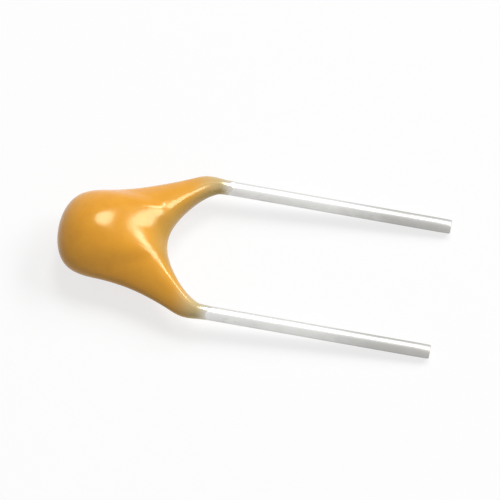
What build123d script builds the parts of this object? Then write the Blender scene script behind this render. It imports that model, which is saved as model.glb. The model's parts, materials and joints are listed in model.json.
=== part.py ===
from build123d import *
from math import cos, degrees, pi, sin
import os

# Dipped radial multilayer ceramic capacitor, lying as it comes to rest.
# Built flat first: +X along the wires, +Y across them, Z through the thickness,
# x = 0 at the closed end of the coat. Laid down on its belly at the end.

# --- driving dimensions, mm -------------------------------------------------
lead_pitch = 5.08      # between the two wire centres where they leave the coat
wire_d = 0.5           # tinned wire
wire_free = 8.2        # straight wire beyond the coat
wire_bend_r = 0.6      # centre-line radius of the kinks inside the coat
wire_chamfer = 0.04    # burr-free cut end

chip_l = 1.6           # chip, end to end (across the wires)
chip_w = 0.8           # chip, along the wires
chip_t = 0.8           # chip, through the thickness
chip_edge_r = 0.07     # tumbled long edges
chip_bevel = 0.025     # worn edges of the end faces
band = 0.35            # metal wrapped over each end of the chip
cap_end_t = 0.03       # metal on the chip's end face
cap_band_t = 0.02      # metal on the four sides

plates = 14            # inner electrodes, every other one from each end
plate_t = 0.012        # printed metal, far thicker than the real print
plate_side_gap = 0.12  # ceramic left beside the plates
plate_end_gap = 0.20   # ceramic left at the end a plate doesn't reach
cover_t = 0.10         # plain ceramic above and below the stack

joint_gap = 0.02       # solder film between the wire and the chip's end
joint_l = 1.0          # solder fillet, along the wire
joint_h = 0.76         # solder fillet, through the thickness
joint_w = 0.42         # solder fillet, out from the chip's end

end_wall = 1.2         # coat beyond the chip at the closed end
side_wall = 0.48       # coat outside each wire
face_wall = 0.75       # coat over each face of the chip
web = 1.88             # coat from the chip to the bottom of the arch
arch_depth = 1.43      # bottom of the arch to the tips of the legs
lip = 0.03             # coat left on the wire at the tip of each leg
toe = 0.04             # coat outside the wire's knee
knee_back = 0.40       # from the wire's knee to the tip of the leg
splay = 1.5            # slanted wire: run along X for each unit of spread
leg_from = 0.34        # share of the way to the tip where the bag is all leg
leg_fat = 0.27         # half thickness a leg gains with its half width
leg_swell = 0.12       # extra half thickness of a leg above its tip
belly = 0.25           # how far the bag is thickest towards the closed end
rim = 0.30             # how far a leg is thickest towards the arch

# --- sizes that follow ------------------------------------------------------
wire_r = wire_d / 2
joint_y = chip_l / 2 + joint_gap + wire_r          # wire centre beside the chip
tip_y = lead_pitch / 2
blob_half_w = joint_y + wire_r + side_wall
blob_half_t = chip_t / 2 + face_wall
chip_x = end_wall + chip_w / 2
arch_x = end_wall + chip_w + web
coat_l = arch_x + arch_depth
wire_end_x = coat_l + wire_free
tip_r = wire_r + lip

# --- outline of the coat, one side, seen on its face --------------------------
outer = Spline(
    (0, 0),
    (0.12 * arch_x, 0.75 * blob_half_w),
    (0.465 * arch_x, blob_half_w),
    (0.855 * arch_x, blob_half_w + 0.29 * (tip_y - joint_y)),
    (arch_x + 0.24 * arch_depth, tip_y + 0.34 * wire_r),
    (arch_x + 0.62 * arch_depth, tip_y + wire_r + toe),
    (coat_l, tip_y + tip_r),
    tangents=[(0, 1), (1, -0.12)],
    tangent_scalars=[1, 1],
)
inner = Spline(
    (arch_x, 0),
    (arch_x + 0.34 * arch_depth, 0.6 * (tip_y - tip_r)),
    (coat_l, tip_y - tip_r),
    tangents=[(0, 1), (1, 0.45)],
    tangent_scalars=[1, 1],
)

stations = 12          # sections from the middle of the coat to one tip
steps = 12             # points over half a section


def ease(q):
    q = min(max(q, 0), 1)
    return q * q * (3 - 2 * q)


def half_section(t):
    """Upper half of an egg-shaped section, from the arch to the outside.

    t is -1 and 1 at the tips of the legs and 0 in the middle. Both ends stand
    upright on the rim, so the mirrored lower half carries on without a crease."""
    s = abs(t)
    a, b = inner @ s, outer @ (1 - (1 - s) ** 1.4)
    mid, reach = (a + b) / 2, (b - a) / 2
    if t < 0:
        mid, reach = Vector(mid.X, -mid.Y), Vector(reach.X, -reach.Y)
    leg = ease(s / leg_from)
    k = belly * (1 - leg) - rim * leg * ease((1 - s) / 0.35)
    leg_h = tip_r + leg_fat * (reach.length - tip_r) + leg_swell * ease((1 - s) / 0.5)
    h = (1 - leg) * blob_half_t / (1 + 0.45 * belly ** 2) + leg * leg_h

    turn = [i / steps for i in range(steps + 1)]
    pts = [mid - reach]
    for q in turn[1:-1]:
        u = -cos(pi * q)
        pts.append(mid + reach * u + Vector(0, 0, h * sin(pi * q) * (1 + k * u)))
    pts.append(mid + reach)
    upright = [(0, 0, pi * h * (1 - k)), (0, 0, -pi * h * (1 + k))]
    return Edge.make_spline(pts, tangents=upright, parameters=turn, scale=False)


rings = [half_section(i / stations) for i in range(-stations, stations + 1)]
over = Shell.make_loft([Wire([ring]) for ring in rings])
tips = [Face(Wire([ring, ring.mirror(Plane.XY)])) for ring in (rings[0], rings[-1])]
blob = Solid(Shell(over.faces() + over.mirror(Plane.XY).faces() + tips))

# --- chip, leads and joints ---------------------------------------------------


def worn_block(width, length, height, edge_r):
    """Block with rounded long edges and bevelled ends."""
    block = Box(width, length, height)
    block = fillet(block.edges().filter_by(Axis.Y), edge_r)
    ends = block.faces().filter_by(Axis.Y)
    return Pos(chip_x, 0, 0) * chamfer(ends.edges(), chip_bevel)


core_w, core_l = chip_w - 2 * cap_band_t, chip_l - 2 * cap_end_t
core_t = chip_t - 2 * cap_band_t
chip_box = worn_block(chip_w, chip_l, chip_t, chip_edge_r)
core = worn_block(core_w, core_l, core_t, chip_edge_r - cap_band_t)

wire_start_x = chip_x - 0.6 * chip_w
knee_x = coat_l - knee_back
kink_x = knee_x - splay * (tip_y - joint_y)
nodes = {}

for side, name in ((1, "left"), (-1, "right")):
    path = FilletPolyline(
        (wire_start_x, side * joint_y),
        (kink_x, side * joint_y),
        (knee_x, side * tip_y),
        (wire_end_x, side * tip_y),
        radius=wire_bend_r,
    )
    lead = sweep(Plane(origin=path @ 0, z_dir=path % 0) * Circle(wire_r), path)
    cut_end = lead.edges().filter_by(GeomType.CIRCLE).sort_by(Axis.X)[-1]
    lead = chamfer(cut_end, wire_chamfer)
    nodes[f"lead_{name}"] = lead

    end_block = Pos(chip_x, side * (chip_l / 2 - band / 2), 0) * Box(
        2 * chip_w, band, 2 * chip_t
    )
    nodes[f"termination_{name}"] = (chip_box & end_block) - core

    egg = scale(Sphere(1), by=(joint_l / 2, joint_w, joint_h / 2))
    egg = Pos(chip_x, side * chip_l / 2, 0) * egg
    outside = Pos(chip_x, side * (chip_l / 2 + joint_w), 0) * Box(
        2 * joint_l, 2 * joint_w, 2 * joint_h
    )
    nodes[f"solder_joint_{name}"] = (egg & outside) - lead

# --- inner electrodes ---------------------------------------------------------
stack = core_t - 2 * cover_t
plate_w, plate_l = core_w - 2 * plate_side_gap, core_l - plate_end_gap
body = core
for i in range(plates):
    name, side = ("left", 1) if i % 2 == 0 else ("right", -1)
    z = stack * (i / (plates - 1) - 0.5)
    plate = Pos(chip_x, side * plate_end_gap / 2, z) * Box(plate_w, plate_l, plate_t)
    nodes[f"electrode_{name}_{i // 2 + 1}"] = plate
    body = body - plate
nodes["ceramic_body"] = body

# --- coat, poured round everything inside ---------------------------------------
coat = blob - core
for key, solid in nodes.items():
    if key.startswith(("lead", "termination", "solder")):
        coat = coat - solid
nodes["epoxy_coat"] = coat

# --- laid down: belly and both wire ends on the floor ----------------------------
tilt = 0
for _ in range(6):
    belly_low = (Rot(0, degrees(tilt), 0) * blob).bounding_box().min.Z
    wire_low = -(wire_end_x - wire_chamfer) * sin(tilt) - wire_r * cos(tilt)
    tilt += (wire_low - belly_low) / (wire_end_x - chip_x)
flat = Compound(children=[Part() + solid for solid in nodes.values()])
laid = Rot(0, degrees(tilt), 0)
box = (laid * flat).bounding_box()
shift = Pos(-(box.min.X + box.max.X) / 2, -(box.min.Y + box.max.Y) / 2, -box.min.Z)
place = shift * laid

os.makedirs("parts", exist_ok=True)
for key, solid in nodes.items():
    export_step(place * solid, f"parts/{key}.step")

print("tilt", round(degrees(tilt), 3), "box", box.size)
for y in (tip_y, -tip_y):
    tip, end = place * Pos(coat_l, y, 0), place * Pos(wire_end_x, y, 0)
    print("wire from", tip.position, "to", end.position, "along", end.x_axis.direction)
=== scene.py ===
# %% [markdown]
# # A dipped radial capacitor
#
# The part is a layered ceramic chip with two wires soldered to its ends, dipped
# in golden-orange epoxy. Only the epoxy coat and the bare wires show. The CAD
# model fixes every size and the place of every solid. This notebook makes the
# coat and the wires again as smooth, slightly uneven surfaces, gives each piece
# a finish, and lights the part on a pale table.

# %% Load the fixed frame
import json
import math

import bpy
import numpy as np
from mathutils import Matrix, Vector


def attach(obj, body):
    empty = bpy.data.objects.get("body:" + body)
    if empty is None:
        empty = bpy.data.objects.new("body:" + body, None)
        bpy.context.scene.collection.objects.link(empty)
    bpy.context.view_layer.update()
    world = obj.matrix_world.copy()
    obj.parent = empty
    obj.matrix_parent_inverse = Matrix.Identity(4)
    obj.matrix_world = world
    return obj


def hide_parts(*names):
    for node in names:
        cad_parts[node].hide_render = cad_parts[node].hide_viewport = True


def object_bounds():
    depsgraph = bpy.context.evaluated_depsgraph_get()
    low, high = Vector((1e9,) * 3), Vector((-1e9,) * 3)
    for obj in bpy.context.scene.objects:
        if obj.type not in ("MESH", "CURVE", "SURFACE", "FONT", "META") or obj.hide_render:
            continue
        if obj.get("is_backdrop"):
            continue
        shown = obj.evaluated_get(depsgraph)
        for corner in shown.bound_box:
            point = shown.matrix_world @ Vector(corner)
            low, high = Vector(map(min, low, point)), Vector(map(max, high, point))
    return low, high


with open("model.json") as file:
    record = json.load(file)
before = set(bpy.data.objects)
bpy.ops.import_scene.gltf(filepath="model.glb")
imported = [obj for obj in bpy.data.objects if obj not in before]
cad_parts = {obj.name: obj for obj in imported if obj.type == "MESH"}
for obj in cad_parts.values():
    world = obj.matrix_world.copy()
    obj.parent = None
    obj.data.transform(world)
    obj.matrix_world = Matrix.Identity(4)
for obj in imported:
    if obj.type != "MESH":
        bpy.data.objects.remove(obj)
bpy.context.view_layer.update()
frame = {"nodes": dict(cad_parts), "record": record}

# %% [markdown]
# ## Sizes
#
# Lengths here are in millimetres, in the frame in which the part is easiest to
# describe: flat, with x along the wires and zero at the closed end of the coat.
# They are the CAD model's own sizes, so that what is made here fits its solids.

# %% Sizes of the wires
PITCH = 5.08        # between the two wires
WIRE_R = 0.25
WIRE_FREE = 8.2     # straight wire beyond the coat
BEND_R = 0.6        # of the kinks inside the coat
JOINT_Y = 1.07      # wire beside the chip, from the middle
TIP_Y = PITCH / 2   # wire at the tip of a leg
print("wires", 2 * WIRE_R, "thick,", PITCH, "apart")

# %% Sizes of the coat
ARCH_X = 3.88                 # closed end to the bottom of the arch
ARCH_DEPTH = 1.43             # bottom of the arch to the tips of the legs
HALF_W, HALF_T = 1.80, 1.15   # of the bag
LIP = 0.03                    # coat left on the wire at the tip of a leg
KNEE_BACK = 0.40              # from the wire's knee to the tip
LEG_FROM = 0.34               # share of the way to a tip where the bag is all leg
LEG_FAT = 0.27                # half thickness a leg gains with its half width
COAT_L = ARCH_X + ARCH_DEPTH
TIP_R = WIRE_R + LIP
KNEE_X = COAT_L - KNEE_BACK
WIRE_END = COAT_L + WIRE_FREE
print("coat", COAT_L, "long,", 2 * HALF_W, "wide,", 2 * HALF_T, "thick")

# %% [markdown]
# ## Laying a flat piece down
#
# The CAD solids lie on the table, tilted so that the belly and both wire ends
# touch it. The tilt could be typed in, but the record's two pins already tell
# where the wires are and where they point, so one matrix made from them takes a
# flat piece in millimetres to its place in metres.

# %% The matrix that lays a piece down
pins = {pin["name"]: pin for pin in frame["record"]["mounts"]}
middle = (Vector(pins["lead_left"]["pos_m"]) + Vector(pins["lead_right"]["pos_m"])) / 2
along = Vector(pins["lead_left"]["axis"]).normalized()
across = Vector((0, 1, 0))
turn = Matrix((along, across, along.cross(across))).transposed().to_4x4()
lay_down = (
    Matrix.Translation(middle)
    @ turn
    @ Matrix.Scale(0.001, 4)
    @ Matrix.Translation((-(COAT_L + WIRE_FREE / 2), 0, 0))
)
tilt = math.asin(-along.z)
print("tilt, degrees:", round(math.degrees(tilt), 3))

# %% [markdown]
# ## A small language for node trees
#
# Geometry and materials are both made of nodes. They could be drawn by hand or
# linked one by one, but three short classes keep their scripts readable.
# `Value` wraps one output socket, so that ordinary arithmetic adds Math nodes.
# `Made` is a finished node. `Net` wraps a tree and adds any other node in one
# call: its type, its settings, and the values or links of its sockets.

# %% A socket that takes part in arithmetic
class Value:
    """One output socket that takes part in arithmetic."""

    def __init__(self, net, socket):
        self.net, self.socket = net, socket

    def _math(self, operation, first, second):
        return self.net.function(operation, first, second)

    def __add__(self, other): return self._math("ADD", self, other)
    def __radd__(self, other): return self._math("ADD", other, self)
    def __sub__(self, other): return self._math("SUBTRACT", self, other)
    def __rsub__(self, other): return self._math("SUBTRACT", other, self)
    def __mul__(self, other): return self._math("MULTIPLY", self, other)
    def __rmul__(self, other): return self._math("MULTIPLY", other, self)
    def __truediv__(self, other): return self._math("DIVIDE", self, other)
    def __pow__(self, other): return self._math("POWER", self, other)
    def __gt__(self, other): return self._math("GREATER_THAN", self, other)
    def __lt__(self, other): return self._math("LESS_THAN", self, other)


print("Value has", sum(callable(made) for made in vars(Value).values()), "methods")

# %% A finished node
def named(sockets, name):
    """The socket of that name that is in use; some nodes have one for each type."""
    return next(socket for socket in sockets if socket.name == name and socket.enabled)


class Made:
    """A finished node; its outputs are read by name."""

    def __init__(self, net, node):
        self.net, self.node = net, node

    def __getitem__(self, key):
        return Value(self.net, named(self.node.outputs, key))


print("Made has", sum(callable(made) for made in vars(Made).values()), "methods")

# %% A tree under construction
class Net:
    """A node tree under construction."""

    def __init__(self, tree):
        self.tree = tree

    def node(self, kind, settings=None, sockets=None):
        made = self.tree.nodes.new(kind)
        for name, value in (settings or {}).items():
            setattr(made, name, value)
        for key, value in (sockets or {}).items():
            by_number = isinstance(key, int)
            socket = made.inputs[key] if by_number else named(made.inputs, key)
            if isinstance(value, Value):
                self.tree.links.new(value.socket, socket)
            elif socket.type == "RGBA":
                socket.default_value = (*value[:3], 1)
            else:
                socket.default_value = value
        return Made(self, made)

    def function(self, operation, *values):
        """What a Math node makes of one or two numbers."""
        sockets = dict(enumerate(values))
        return self.node("ShaderNodeMath", {"operation": operation}, sockets)["Value"]

    def ease(self, value, start, end, low=0.0, high=1.0):
        """Smooth step from low to high as value goes from start to end."""
        return self.node(
            "ShaderNodeMapRange",
            {"interpolation_type": "SMOOTHSTEP"},
            {"Value": value, "From Min": start, "From Max": end, "To Min": low, "To Max": high},
        )["Result"]

    def blend(self, factor, first, second):
        """Between two numbers; the factor is not clamped."""
        return factor * (second - first) + first

    def vector(self, x=0.0, y=0.0, z=0.0):
        return self.node("ShaderNodeCombineXYZ", None, {"X": x, "Y": y, "Z": z})["Vector"]

    def vectors(self, operation, first, second=None, scale=None):
        sockets = {0: first}
        if second is not None:
            sockets[1] = second
        if scale is not None:
            sockets["Scale"] = scale
        return self.node("ShaderNodeVectorMath", {"operation": operation}, sockets)["Vector"]

    def split(self, vector):
        made = self.node("ShaderNodeSeparateXYZ", None, {"Vector": vector})
        return made["X"], made["Y"], made["Z"]

    def noise(self, vector, scale, detail=2.0, roughness=0.5):
        return self.node("ShaderNodeTexNoise", None, {
            "Vector": vector, "Scale": scale, "Detail": detail, "Roughness": roughness,
        })["Fac"]


print("Net has", sum(callable(made) for made in vars(Net).values()), "methods")

# %% [markdown]
# ## Geometry trees
#
# Geometry Nodes trees get named inputs. A modifier's inputs are set through each
# socket's identifier before anything is evaluated, and the result is turned into
# a plain mesh that sits at the origin, because that is what is exported.

# %% Geometry tree and plain mesh helpers
SOCKETS = {
    int: "NodeSocketInt", float: "NodeSocketFloat",
    bpy.types.Object: "NodeSocketObject", bpy.types.Material: "NodeSocketMaterial",
}


class Shape(Net):
    """A Geometry Nodes tree with named inputs."""

    def __init__(self, name, inputs):
        super().__init__(bpy.data.node_groups.new(name, "GeometryNodeTree"))
        self.inputs = inputs
        self.tree.interface.new_socket(
            "Geometry", in_out="OUTPUT", socket_type="NodeSocketGeometry"
        )
        self.identifiers = {}
        for key, value in inputs.items():
            kind = next(SOCKETS[given] for given in SOCKETS if isinstance(value, given))
            socket = self.tree.interface.new_socket(key, in_out="INPUT", socket_type=kind)
            self.identifiers[key] = socket.identifier
        self.given = self.node("NodeGroupInput")
        self.result = self.tree.nodes.new("NodeGroupOutput")

    def __getitem__(self, key):
        return self.given[key]

    def finish(self, geometry):
        """Real geometry with its material goes to the tree's output."""
        real = self.node("GeometryNodeRealizeInstances", None, {"Geometry": geometry})
        dressed = self.node("GeometryNodeSetMaterial", None, {
            "Geometry": real["Geometry"], "Material": self["Material"],
        })
        self.tree.links.new(dressed["Geometry"].socket, self.result.inputs["Geometry"])

    def make(self, name, matrix, **changed):
        """Evaluate the tree once and keep the result as a plain mesh object."""
        carrier = bpy.data.objects.new(name + ".maker", bpy.data.meshes.new(name + ".maker"))
        bpy.context.scene.collection.objects.link(carrier)
        modifier = carrier.modifiers.new("shape", "NODES")
        modifier.node_group = self.tree
        for key, value in {**self.inputs, **changed}.items():
            modifier[self.identifiers[key]] = value
        bpy.context.view_layer.update()
        made = carrier.evaluated_get(bpy.context.evaluated_depsgraph_get())
        mesh = bpy.data.meshes.new_from_object(made)
        mesh.name = name
        bpy.data.objects.remove(carrier)
        mesh.transform(matrix)
        piece = bpy.data.objects.new(name, mesh)
        bpy.context.scene.collection.objects.link(piece)
        print(name, "vertices", len(mesh.vertices), "faces", len(mesh.polygons))
        return piece


print("a tree takes", len(SOCKETS), "kinds of input")

# %% [markdown]
# ## Two outlines
#
# Seen on its face, the coat lies between two curves: the outside, round the
# closed end and down to the tip of a leg, and the arch between the legs. They
# could be drawn with handles set by eye, but the CAD model fixes a few points of
# each. The smoothest cubic through them has a slope that changes evenly at each
# point, which is one small set of equations, and its pieces are exactly Bezier
# segments.

# %% Outline curves
def smooth_outline(name, points, start, end):
    """Bezier curve through points, leaving and arriving in the given directions."""
    knots = np.array([(*xy, 0.0) for xy in points])
    span = np.linalg.norm(np.diff(knots, axis=0), axis=1)
    count = len(knots)
    rows, right = np.zeros((count, count)), np.zeros((count, 3))
    rows[0, 0] = rows[-1, -1] = 1
    for row, way in ((0, start), (-1, end)):
        right[row, :2] = np.array(way) / np.hypot(*way)
    for i in range(1, count - 1):
        before, after = span[i - 1], span[i]
        rows[i, i - 1:i + 2] = after, 2 * (before + after), before
        coming, going = knots[i] - knots[i - 1], knots[i + 1] - knots[i]
        right[i] = 3 * (after * coming / before + before * going / after)
    slope = np.linalg.solve(rows, right)

    curve = bpy.data.curves.new(name, "CURVE")
    curve.dimensions, curve.resolution_u = "3D", 48
    spline = curve.splines.new("BEZIER")
    spline.bezier_points.add(count - 1)
    for i, point in enumerate(spline.bezier_points):
        point.co = knots[i]
        point.handle_left = knots[i] - slope[i] * span[max(i - 1, 0)] / 3
        point.handle_right = knots[i] + slope[i] * span[min(i, count - 2)] / 3
    outline = bpy.data.objects.new(name, curve)
    bpy.context.scene.collection.objects.link(outline)
    return outline


print("a cubic through given points is ready")

# %% The outside and the arch
TOE = 0.04   # coat outside the wire's knee
outside = smooth_outline(
    "outside_outline",
    [(0, 0),
     (0.12 * ARCH_X, 0.75 * HALF_W),
     (0.465 * ARCH_X, HALF_W),
     (0.855 * ARCH_X, HALF_W + 0.29 * (TIP_Y - JOINT_Y)),
     (ARCH_X + 0.24 * ARCH_DEPTH, TIP_Y + 0.34 * WIRE_R),
     (ARCH_X + 0.62 * ARCH_DEPTH, TIP_Y + WIRE_R + TOE),
     (COAT_L, TIP_Y + TIP_R)],
    (0, 1), (1, -0.12),
)
arch = smooth_outline(
    "arch_outline",
    [(ARCH_X, 0), (ARCH_X + 0.34 * ARCH_DEPTH, 0.6 * (TIP_Y - TIP_R)), (COAT_L, TIP_Y - TIP_R)],
    (0, 1), (1, 0.45),
)
print("outlines:", outside.name, arch.name)

# %% [markdown]
# ## The epoxy coat
#
# Liquid epoxy wets the chip, bridges the two wires and drains into a wishbone:
# a plump bag with two legs. It could be sculpted or blown up with metaballs,
# but its shape follows a rule, so Geometry Nodes bend a flat grid into it. One
# side of the grid runs from leg tip to leg tip, the other once round each
# section. A section is an egg drawn between the arch and the outside, thick in
# the bag and nearly round where a leg reaches its wire.

# %% The coat's inputs
FILM_THIN = 0.008   # thickness of the film where it ends
dip = Shape("coat_shape", {
    "Outside": outside,
    "Arch": arch,
    "Half thickness": HALF_T,
    "Tip radius": TIP_R,
    "Belly": 0.25,
    "Rim": 0.30,
    "Crook": 2.6,
    "Leg swell": 0.12,
    "Film reach": 0.60,
    "Film radius": WIRE_R + FILM_THIN,
    "Unevenness": 0.028,
    "Along": 301,
    "Around": 129,
    "Material": bpy.data.materials.new("epoxy"),
})
print("coat inputs:", ", ".join(dip.inputs))

# %% The grid, and where each of its points belongs
FILM_PART = 0.13    # the grid goes on past a tip by this share of the way there
FILM_CLOSED = 0.8   # share of the film after which its edge turns in to the wire
grid = dip.node("GeometryNodeMeshGrid", None, {
    "Size X": 2.0, "Size Y": 1.0, "Vertices X": dip["Along"], "Vertices Y": dip["Around"],
})["Mesh"]
run, around, _ = dip.split(dip.node("GeometryNodeInputPosition")["Position"])
mirror = dip.function("SIGN", run)
reach_out = dip.function("ABSOLUTE", run) * (1 + FILM_PART)
tipward = dip.function("MINIMUM", reach_out, 1.0)
film = dip.function("MAXIMUM", reach_out - 1.0, 0.0) / FILM_PART
angle = around * math.tau
outward = 0 - dip.function("COSINE", angle)
rise = dip.function("SINE", angle)
print("tipward: 0 in the middle, 1 at a tip; outward: -1 at the arch, 1 at the outside")

# %% A point of either outline
def along_outline(key, factor):
    """The place at that share of the length of the input curve."""
    geometry = dip.node(
        "GeometryNodeObjectInfo", {"transform_space": "ORIGINAL"}, {"Object": dip[key]}
    )["Geometry"]
    return dip.node(
        "GeometryNodeSampleCurve", {"mode": "FACTOR", "use_all_curves": True},
        {"Curves": geometry, "Factor": factor},
    )["Position"]


SPREAD = 1.4   # the outside is longer than the arch, so its points run ahead
arch_x, arch_y, _ = dip.split(along_outline("Arch", tipward))
rim_x, rim_y, _ = dip.split(along_outline("Outside", 1 - (1 - tipward) ** SPREAD))
mid_x, mid_y = (arch_x + rim_x) * 0.5, (arch_y + rim_y) * 0.5
half_x, half_y = (rim_x - arch_x) * 0.5, (rim_y - arch_y) * 0.5
half = dip.function("SQRT", half_x * half_x + half_y * half_y)
print("coat nodes so far:", len(dip.tree.nodes))

# %% How thick a section is, and to which side it leans
LEAN_FADES = 0.35    # share of the way before a tip over which a leg's lean dies away
SWELL_FADES = 0.5    # the same for its swell
LEAN_RAISES = 0.45   # how far a lean lifts the top, which the bag's height takes back
leg = dip.ease(tipward, 0.0, LEG_FROM)
lean = dip["Belly"] * (1 - leg) - dip["Rim"] * leg * dip.ease(1 - tipward, 0.0, LEAN_FADES)
leg_height = dip["Tip radius"] + LEG_FAT * (half - dip["Tip radius"])
leg_height = leg_height + dip["Leg swell"] * dip.ease(1 - tipward, 0.0, SWELL_FADES)
bag_height = dip["Half thickness"] / (1 + LEAN_RAISES * dip["Belly"] * dip["Belly"])
thick = dip.blend(leg, bag_height, leg_height)
print("coat nodes so far:", len(dip.tree.nodes))

# %% [markdown]
# Past each tip the last of the epoxy thins out along the wire to an uneven edge.
# It could be painted on the wire, but a real film has a thickness that catches
# the light, so the coat's own grid runs on and shrinks onto the wire. Slow noise
# says how far it gets at each side.

# %% The film on the wire
FILM_CURVE = 2.2   # how soon the film gets thin
ragged = dip.noise(dip.vector(rise * 0.7, outward * 0.7, mirror * 3.0), 1.0, 0.6)
reach = dip["Film reach"] * dip.ease(ragged, 0.3, 0.7, 0.5, 1.0)
thin = 1 - dip.function("MINIMUM", film / FILM_CLOSED, 1.0)
close = dip.ease(film, FILM_CLOSED, 1.0)
radius = dip["Film radius"] + (dip["Tip radius"] - dip["Film radius"]) * thin ** FILM_CURVE
shrink = dip.blend(film > 0.0, 1.0, radius / dip["Tip radius"] * (1 - close))
slide = dip.blend(close, reach * (1 - thin), 0.5 * dip["Film reach"])
print("film thickness:", LIP, "to", FILM_THIN)

# %% [markdown]
# A dipped body seldom stands quite straight on its wires. A slight crook bends
# the coat sideways, more and more towards the closed end. A bend modifier would
# turn the tips too, so the sideways step is worked out here and eased in behind
# the wires' knees.

# %% The coat's points in place
MERGE = 0.0004   # points nearer to each other than this become one
flat_x = mid_x + half_x * outward * shrink + slide
sway = dip.function("TANGENT", dip["Crook"] * (math.pi / 180)) * dip.ease(flat_x, KNEE_X, 0.8)
point = dip.vector(
    flat_x,
    mirror * (mid_y + half_y * outward * shrink) - (COAT_L - flat_x) * sway,
    thick * rise * (1 + lean * outward) * shrink,
)
marked = dip.node(
    "GeometryNodeStoreNamedAttribute", {"data_type": "FLOAT", "domain": "POINT"},
    {"Geometry": grid, "Name": "edge", "Value": outward},
)["Geometry"]
bent = dip.node("GeometryNodeSetPosition", None, {"Geometry": marked, "Position": point})
skin = dip.node(
    "GeometryNodeMergeByDistance", None, {"Geometry": bent["Geometry"], "Distance": MERGE}
)["Geometry"]
print("points keep outward as the attribute edge, for the finish")

# %% Slight unevenness, and the coat as a mesh
place = dip.node("GeometryNodeInputPosition")["Position"]
x, _, _ = dip.split(place)
uneven = dip.noise(place, 0.5, 0.0) * 0.85 + dip.noise(place, 1.3, 0.0) * 0.15
calm = dip.ease(x, COAT_L - 1.2, COAT_L - 0.1, 1.0, 0.0)   # none at the tips
normal = dip.node("GeometryNodeInputNormal")["Normal"]
dent = dip.vectors("SCALE", normal, scale=(0 - dip["Unevenness"]) * uneven * calm)
skin = dip.node("GeometryNodeSetPosition", None, {"Geometry": skin, "Offset": dent})["Geometry"]
dip.finish(dip.node("GeometryNodeSetShadeSmooth", None, {"Geometry": skin})["Geometry"])

epoxy = bpy.data.materials["epoxy"]
coat = dip.make("dipped_coat", lay_down)
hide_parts("epoxy_coat")
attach(coat, "root")

# %% [markdown]
# ## The wires
#
# Each wire starts beside the chip, kinks outwards inside the coat and runs
# straight to its cut end. A bevelled curve would do, but a cutter leaves the
# end slightly pinched, with a worn rim. The same method as for the coat gives
# both: the short path is filleted, and a grid is wrapped round it with a radius
# that depends on the distance from the end.

# %% The path of a wire
START_X = 1.12   # where it starts, beside the chip
SPLAY = 1.5      # slanted wire: run along x for each unit of spread
KINK_X = KNEE_X - SPLAY * (TIP_Y - JOINT_Y)
WIRE_PATH = [(START_X, JOINT_Y), (KINK_X, JOINT_Y), (KNEE_X, TIP_Y), (WIRE_END, TIP_Y)]


def wire_path(name, side):
    """Object with the wire's corners; side is 1 on the left and -1 on the right."""
    curve = bpy.data.curves.new(name, "CURVE")
    curve.dimensions = "3D"
    spline = curve.splines.new("POLY")
    spline.points.add(len(WIRE_PATH) - 1)
    for point, (x, y) in zip(spline.points, WIRE_PATH):
        point.co = (x, side * y, 0, 1)
    route = bpy.data.objects.new(name, curve)
    bpy.context.scene.collection.objects.link(route)
    return route


routes = {"left": wire_path("route_left", 1), "right": wire_path("route_right", -1)}
print("wire corners:", [(round(x, 3), round(y, 3)) for x, y in WIRE_PATH])

# %% The wires' inputs
rod = Shape("wire_shape", {
    "Path": routes["left"],
    "Radius": WIRE_R,
    "Bend radius": BEND_R,
    "Chamfer": 0.045,
    "Pinch": 0.10,
    "Along": 241,
    "Around": 49,
    "Material": bpy.data.materials.new("tinned_wire"),
})
print("wire inputs:", ", ".join(rod.inputs))

# %% The rounded path, and a grid to wrap round it
path = rod.node(
    "GeometryNodeObjectInfo", {"transform_space": "ORIGINAL"}, {"Object": rod["Path"]}
)["Geometry"]
path = rod.node(
    "GeometryNodeFilletCurve", {"mode": "POLY"},
    {"Curve": path, "Count": 24, "Radius": rod["Bend radius"]},
)["Curve"]
length = rod.node("GeometryNodeCurveLength", None, {"Curve": path})["Length"]
grid = rod.node("GeometryNodeMeshGrid", None, {
    "Size X": 1.0, "Size Y": 1.0, "Vertices X": rod["Along"], "Vertices Y": rod["Around"],
})["Mesh"]
run, around, _ = rod.split(rod.node("GeometryNodeInputPosition")["Position"])
run = run + 0.5
print("run: 0 beside the chip, 1 at the cut end")

# %% Shares of the grid for the body and the two ends
def share(value, start, end):
    """0 to 1 as value goes from start to end, clamped."""
    return rod.node("ShaderNodeMapRange", None, {
        "Value": value, "From Min": start, "From Max": end, "To Min": 0.0, "To Max": 1.0,
    })["Result"]


END_PART = 0.06   # of the grid, for the closing at each end
RIM_PART = 0.62   # of that, for the worn rim before the flat cut
body = share(run, END_PART, 1 - END_PART)
near = share(run, 0.0, END_PART)
far = share(run, 1 - END_PART, 1.0)
rim = share(far, 0.0, RIM_PART)
cap = share(far, RIM_PART, 1.0)
print("end and rim shares:", END_PART, RIM_PART)

# %% Place along the path and radius there
chamfer = rod["Chamfer"]
rounding = rod.function("SINE", rim * (math.pi / 2))
drop = 1 - rod.function("COSINE", rim * (math.pi / 2))
distance = (length - chamfer) * body + chamfer * rounding
sampled = rod.node(
    "GeometryNodeSampleCurve", {"mode": "LENGTH", "use_all_curves": True},
    {"Curves": path, "Length": distance},
)
size = (rod["Radius"] - chamfer * drop) * (1 - cap) * near
print("the radius drops over the last", rod.inputs["Chamfer"])

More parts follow.
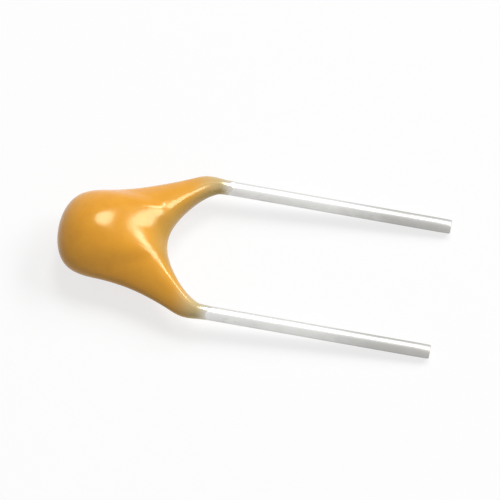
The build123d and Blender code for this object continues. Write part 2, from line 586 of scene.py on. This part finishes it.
# %% Wrapped round, and pinched at the cut
PINCHED = 0.7   # length that the cutter flattens
forward = sampled["Tangent"]
sideways = rod.vectors("CROSS_PRODUCT", forward, (0.0, 0.0, 1.0))
angle = around * math.tau
x, _, _ = rod.split(sampled["Position"])
end_near = rod.ease(x, WIRE_END - PINCHED, WIRE_END)
flatten = 1 - rod["Pinch"] * end_near * end_near
outwards = rod.vectors("SCALE", sideways, scale=size * rod.function("COSINE", angle))
upwards = rod.vector(0.0, 0.0, size * rod.function("SINE", angle) * flatten)
point = rod.vectors("ADD", sampled["Position"], rod.vectors("ADD", outwards, upwards))
tube = rod.node("GeometryNodeSetPosition", None, {"Geometry": grid, "Position": point})
tube = rod.node(
    "GeometryNodeMergeByDistance", None, {"Geometry": tube["Geometry"], "Distance": MERGE}
)["Geometry"]
rod.finish(rod.node("GeometryNodeSetShadeSmooth", None, {"Geometry": tube})["Geometry"])
print("the pinch flattens the last", PINCHED)

# %% The wires as meshes
tinned = bpy.data.materials["tinned_wire"]
for side, route in routes.items():
    wire = rod.make(f"wire_{side}", lay_down, Path=route)
    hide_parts(f"lead_{side}")
    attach(wire, "root")
for helper in (outside, arch, *routes.values()):
    bpy.data.objects.remove(helper)

# %% [markdown]
# ## Epoxy
#
# Dipping resin is a pigmented enamel: an even golden orange, glossy but faintly
# rippled like orange peel, with a few dust specks. Painted shade darkens it along
# the outer rim and the underside, and along the arch it turns olive, partly a thin
# meniscus and partly painted shade. Where the layer over a wire is only a film the
# metal lightens it. A picture could hold all this, but a node tree stays sharp at
# any size. Its masks are arithmetic on the coordinates, laid back flat so that x
# runs along the wires, and on the attribute "edge", which the coat's own tree left
# on its points: -1 at the arch and 1 at the outside.

# %% Helpers for materials
def material_net(material):
    """The material's own tree, emptied for new nodes."""
    material.use_nodes = True
    material.node_tree.nodes.clear()
    return Net(material.node_tree)


def mix(net, factor, first, second):
    """Between two colours."""
    return net.node("ShaderNodeMix", {"data_type": "RGBA"}, {
        "Factor": factor, "A": first, "B": second,
    })["Result"]


def surface(net, **sockets):
    """A Principled surface with these sockets, to the material's output."""
    spaced = {key.replace("_", " "): value for key, value in sockets.items()}
    bsdf = net.node("ShaderNodeBsdfPrincipled", None, spaced)["BSDF"]
    net.node("ShaderNodeOutputMaterial", None, {"Surface": bsdf})


def flat_coordinates(net):
    """Object coordinates turned back to the flat frame, in millimetres."""
    back = lay_down.inverted()
    return net.node("ShaderNodeMapping", {"vector_type": "POINT"}, {
        "Vector": net.node("ShaderNodeTexCoord")["Object"],
        "Location": back.translation,
        "Rotation": back.to_euler(),
        "Scale": back.to_scale(),
    })["Vector"]


print("one millimetre in metres:", round(lay_down.to_scale().x, 6))

# %% The epoxy's colour
GOLD, TAWNY = (0.79, 0.340, 0.014), (0.71, 0.280, 0.010)
AMBER = (0.74, 0.34, 0.025)      # the layer thins towards the legs
STRAW = (0.55, 0.42, 0.20)       # and more at their tips
FILM_GREY = (0.62, 0.60, 0.54)
resin = material_net(epoxy)
flat = flat_coordinates(resin)
x, _, z = resin.split(flat)
wander = resin.noise(flat, 0.5, 2.0)
cloud = resin.noise(flat, 2.2, 4.0, 0.6)
tip = resin.ease(x + 0.5 * wander, COAT_L - 0.9, COAT_L + 0.35)
shoulder = resin.ease(x, 0.62 * ARCH_X, COAT_L - 0.4)
film = resin.ease(x + 0.2 * wander, COAT_L, COAT_L + 0.50)
tint = mix(resin, resin.ease(cloud, 0.3, 0.7, 0.0, 0.5), GOLD, TAWNY)
tint = mix(resin, shoulder * 0.55, tint, AMBER)
tint = mix(resin, tip, tint, STRAW)
tint = mix(resin, film, tint, FILM_GREY)
print("epoxy nodes so far:", len(resin.tree.nodes))

# %% Painted shade on the rim, the underside and along the arch, the meniscus, and specks of dust
DUST_SIZE = 0.045   # of a speck, as a share of the way to the next
SHADE_BROWN, OLIVE, SPECK = (0.42, 0.19, 0.018), (0.36, 0.24, 0.05), (0.40, 0.16, 0.015)
edge = resin.node("ShaderNodeAttribute", {"attribute_name": "edge"})["Fac"]
# painted shade: darker brown towards the outer rim and the underside, less near the tips
painted_shade = resin.ease(edge, 0.86, 1.0) * 0.45 + resin.ease(z, 0.35, -0.25) * 0.40
tint = mix(resin, painted_shade * (1 - tip), tint, SHADE_BROWN)
# darker olive along the arch: partly a thin meniscus, partly painted shade on the inner wall
meniscus_and_shade = resin.ease(edge, -0.55, -0.95)
tint = mix(resin, meniscus_and_shade * 0.6 * (1 - film), tint, OLIVE)
speck = resin.node("ShaderNodeTexVoronoi", None, {
    "Vector": flat, "Scale": 1.6, "Randomness": 1.0,
})["Distance"]
dust = speck < DUST_SIZE
tint = mix(resin, dust * 0.40, tint, SPECK)
print("epoxy nodes so far:", len(resin.tree.nodes))

# %% The epoxy's ripple and gloss
peel = resin.noise(flat, 3.5, 2.0, 0.5)
grain = resin.noise(flat, 26.0, 2.0, 0.5)
relief = resin.node("ShaderNodeBump", None, {
    "Strength": 1.0, "Distance": 0.001,
    "Height": peel * 0.002 + grain * 0.0001 - dust * 0.006,
})["Normal"]
surface(
    resin, Base_Color=tint, Normal=relief, Metallic=film * 0.85,
    Roughness=0.16 + 0.05 * cloud + 0.08 * film, IOR=1.58,
    Specular_Tint=(1.0, 0.93, 0.62),
)
print("epoxy nodes:", len(resin.tree.nodes))

# %% [markdown]
# ## Tinned wire
#
# Copper-clad steel wire is drawn through a die and tinned, so it is bright but
# not a mirror: fine lines run along it, the tin is cloudy, handling leaves small
# dull scuffs, and the colour greys towards the far end. The cut end shows the
# sheared steel core in its thin ring of copper. An anisotropic shader would draw
# the fine lines too, but stretched noise in a bump does it with what every
# renderer understands.

# %% The wire's colour
TIN, DULL_TIN = (0.75, 0.745, 0.73), (0.62, 0.615, 0.60)
END_GREY, SCUFFED = (0.36, 0.355, 0.34), (0.42, 0.41, 0.40)
tin = material_net(tinned)
flat = flat_coordinates(tin)
x, y, z = tin.split(flat)
cloud = tin.noise(flat, 1.6, 4.0, 0.6)
scuff = tin.ease(tin.noise(tin.vector(x * 1.2, y * 3.0, z * 3.0), 1.1, 3.0, 0.7), 0.56, 0.72)
# greyer towards the cut end
greyer_end = tin.ease(x + 1.2 * cloud, COAT_L + 4.2, COAT_L + 7.0)
tint = mix(tin, cloud, TIN, DULL_TIN)
tint = mix(tin, greyer_end * 0.65, tint, END_GREY)
tint = mix(tin, scuff * 0.5, tint, SCUFFED)
print("wire nodes so far:", len(tin.tree.nodes))

# %% The cut end
CORE_R, COPPER_R = 0.17, 0.21
STEEL, COPPER = (0.40, 0.385, 0.37), (0.58, 0.33, 0.22)
off_axis = tin.function("ABSOLUTE", y) - TIP_Y
radial = tin.function("SQRT", off_axis * off_axis + z * z)
cut = tin.ease(x, WIRE_END - 0.012, WIRE_END - 0.006) * (radial < COPPER_R)
copper = tin.ease(radial, CORE_R - 0.005, CORE_R + 0.005)
core = mix(tin, copper, STEEL, COPPER)
tint = mix(tin, cut, tint, core)
print("steel core out to", CORE_R, "and copper out to", COPPER_R)

# %% The wire's drawn lines and gloss
lines = tin.noise(tin.vector(x * 0.25, y * 6.0, z * 6.0), 3.0, 3.0, 0.6)
sheared = tin.noise(tin.vector(x, y * 1.5, z * 14.0), 2.0, 3.0, 0.6)
relief = tin.node("ShaderNodeBump", None, {
    "Strength": 0.6, "Distance": 0.001,
    "Height": lines * 0.006 + scuff * 0.004 * cloud + cut * sheared * 0.03,
})["Normal"]
surface(
    tin, Base_Color=tint, Metallic=1.0, Normal=relief,
    Roughness=0.33 + 0.16 * cloud + 0.12 * scuff + 0.05 * greyer_end,
)
print("wire nodes:", len(tin.tree.nodes))

# %% [markdown]
# ## Inside the coat
#
# The chip, its electrodes, terminations and solder joints keep their CAD
# solids. Nobody sees them until the coat is taken off, and one plain metal would
# do for that, but each gets the finish of the real thing: grainy fired ceramic,
# matt nickel print, plated ends and bright, lumpy solder. One function makes all
# four, because they differ only in tints, grain and gloss.

# %% A grainy finish
def inner_material(name, dark, light, grain, metallic, smooth, rough, bump):
    """Grains of two tints; smooth and rough are the ends of its roughness."""
    material = bpy.data.materials.new(name)
    net = material_net(material)
    flat = flat_coordinates(net)
    grains = net.noise(flat, grain, 5.0, 0.65)
    patches = net.noise(flat, grain * 0.2, 2.0)
    tint = mix(net, net.ease(grains * 0.6 + patches * 0.4, 0.3, 0.7), dark, light)
    relief = net.node("ShaderNodeBump", None, {
        "Strength": 0.7, "Distance": 0.001, "Height": grains * bump,
    })["Normal"]
    surface(net, Base_Color=tint, Metallic=metallic, Normal=relief,
            Roughness=net.blend(grains, smooth, rough))
    return material


inner = {
    "ceramic_body": inner_material(
        "barium_titanate", (0.23, 0.17, 0.12), (0.33, 0.26, 0.19),
        30.0, 0.0, 0.45, 0.65, 0.002),
    "electrode": inner_material(
        "nickel_print", (0.38, 0.36, 0.33), (0.52, 0.50, 0.46),
        24.0, 1.0, 0.35, 0.55, 0.002),
    "termination": inner_material(
        "plated_end", (0.50, 0.49, 0.47), (0.68, 0.67, 0.64),
        18.0, 1.0, 0.30, 0.45, 0.003),
    "solder_joint": inner_material(
        "solder", (0.46, 0.46, 0.46), (0.66, 0.66, 0.65),
        6.0, 1.0, 0.18, 0.40, 0.010),
}
print("inner finishes:", ", ".join(inner))

# %% Each inner node gets its finish
dressed = 0
for name, node in frame["nodes"].items():
    for family, material in inner.items():
        if name.startswith(family):
            dressed += 1
            for slot in node.material_slots:
                slot.material = material
print("inner nodes dressed:", dressed)

# %% [markdown]
# ## Table
#
# A pale sheet of paper carries the soft contact shadow. A lamp strong enough to
# turn it white would wash out the part too, so part of the paper's white is seen
# but lights nothing: the camera and the reflections get it, the shadows stay.

# %% What the camera and the reflections see
def seen_ray(net):
    """1 for a ray that shows the surroundings themselves, 0 for one that lights."""
    path = net.node("ShaderNodeLightPath")
    either = net.function("MAXIMUM", path["Is Camera Ray"], path["Is Glossy Ray"])
    return net.function("MAXIMUM", either, path["Is Transmission Ray"])


print("seen rays: camera, glossy and transmission")

# %% The sheet of paper
SPAN = 1.5    # metres from the middle to each side
SEEN = 0.75   # share of its white that only shows
WHITE = (1.0, 1.0, 1.0)
floor_mesh = bpy.data.meshes.new("table")
floor_mesh.from_pydata(
    [(-SPAN, -SPAN, 0), (SPAN, -SPAN, 0), (SPAN, SPAN, 0), (-SPAN, SPAN, 0)], [], [(0, 1, 2, 3)]
)
table = bpy.data.objects.new("table", floor_mesh)
bpy.context.scene.collection.objects.link(table)
paper = bpy.data.materials.new("paper")
sheet = material_net(paper)
fibre = sheet.noise(sheet.node("ShaderNodeTexCoord")["Object"], 900.0, 3.0, 0.6)
tint = mix(sheet, fibre, (0.93, 0.93, 0.93), (0.95, 0.95, 0.95))
matt = sheet.node("ShaderNodeBsdfPrincipled", None, {
    "Base Color": tint, "Roughness": 0.9, "Specular IOR Level": 0.2,
})["BSDF"]
bright = sheet.node("ShaderNodeEmission", None, {"Color": WHITE, "Strength": 1.0})["Emission"]
mixed = sheet.node("ShaderNodeMixShader", None, {0: seen_ray(sheet) * SEEN, 1: matt, 2: bright})
sheet.node("ShaderNodeOutputMaterial", None, {"Surface": mixed["Shader"]})
table.data.materials.append(paper)
table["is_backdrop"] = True
print("table", 2 * SPAN, "m wide")

# %% [markdown]
# ## Light
#
# Three oval lamps give the glossy coat its highlights: one high at the back makes
# the round spot on the bag, a wide one at the right the broad streak on the web
# and the upper leg, and a small lower one the streak on the other leg. Sun lamps
# would make hard dots instead. The pale surroundings fill the rest, and together
# with the lamps they add up to about one full white, so that a colour looks as
# it is written.

# %% A direction from two angles
def direction(azimuth, elevation):
    """Unit vector towards a place; azimuth 0 is in front, 90 at the right."""
    azimuth, elevation = math.radians(azimuth), math.radians(elevation)
    level = math.cos(elevation)
    return Vector((math.sin(azimuth) * level, -math.cos(azimuth) * level, math.sin(elevation)))


def facing(way, place):
    """Matrix of something at place that looks back along way."""
    return Matrix.Translation(place) @ way.to_track_quat("Z", "Y").to_matrix().to_4x4()


print("front:", tuple(round(v, 3) for v in direction(0, 0)))

# %% Lamps
LAMP_AWAY = 0.5   # metres from the part


def lamp(name, azimuth, elevation, wide, high, level):
    """An oval soft lamp aimed at the part; level is its share of a full white."""
    way = direction(azimuth, elevation)
    light = bpy.data.lights.new(name, "AREA")
    light.shape, light.size, light.size_y = "ELLIPSE", wide, high
    light.energy = level * (math.pi * LAMP_AWAY) ** 2 / way.z
    lamp_object = bpy.data.objects.new(name, light)
    lamp_object.matrix_world = facing(way, way * LAMP_AWAY)
    bpy.context.scene.collection.objects.link(lamp_object)
    print(name, "level", level)


lamp("lamp_back", 175, 61, 0.19, 0.24, 0.39)
lamp("lamp_right", 115, 43, 0.26, 0.19, 0.32)
lamp("lamp_low", 143, 36, 0.12, 0.13, 0.11)

# %% Surroundings
FILL = 0.20   # their share of a full white; what shows of them is white
world = bpy.data.worlds.new("pale_room")
bpy.context.scene.world = world
world.use_nodes = True
world.node_tree.nodes.clear()
room = Net(world.node_tree)
glow = room.node("ShaderNodeBackground", None, {
    "Color": WHITE, "Strength": room.blend(seen_ray(room), FILL, 1.0),
})
room.node("ShaderNodeOutputWorld", None, {"Surface": glow["Background"]})
print("surroundings level", FILL)

# %% [markdown]
# ## Camera
#
# The part is seen from well above and turned by a few degrees. A short lens near
# by would make the wires run together, so a long one looks from a little way off.

# %% Camera
AZIMUTH, ELEVATION, DISTANCE, LENS = 9.0, 60.0, 0.30, 620.0
way = direction(AZIMUTH, ELEVATION)
low, high = (Vector(corner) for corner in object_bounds())
target = (low + high) / 2
camera = bpy.data.cameras.new("camera")
camera.lens, camera.clip_start = LENS, 0.005
eye = bpy.data.objects.new("camera", camera)
eye.matrix_world = facing(way, target + way * DISTANCE)
bpy.context.scene.collection.objects.link(eye)
bpy.context.scene.camera = eye
bpy.context.scene.view_settings.view_transform = "Standard"
print("camera at", [round(v, 4) for v in eye.location])

# %% [markdown]
# ## Inside the CAD model
#
# What was made here has to stay inside the CAD model, because the part's sizes
# are fixed.
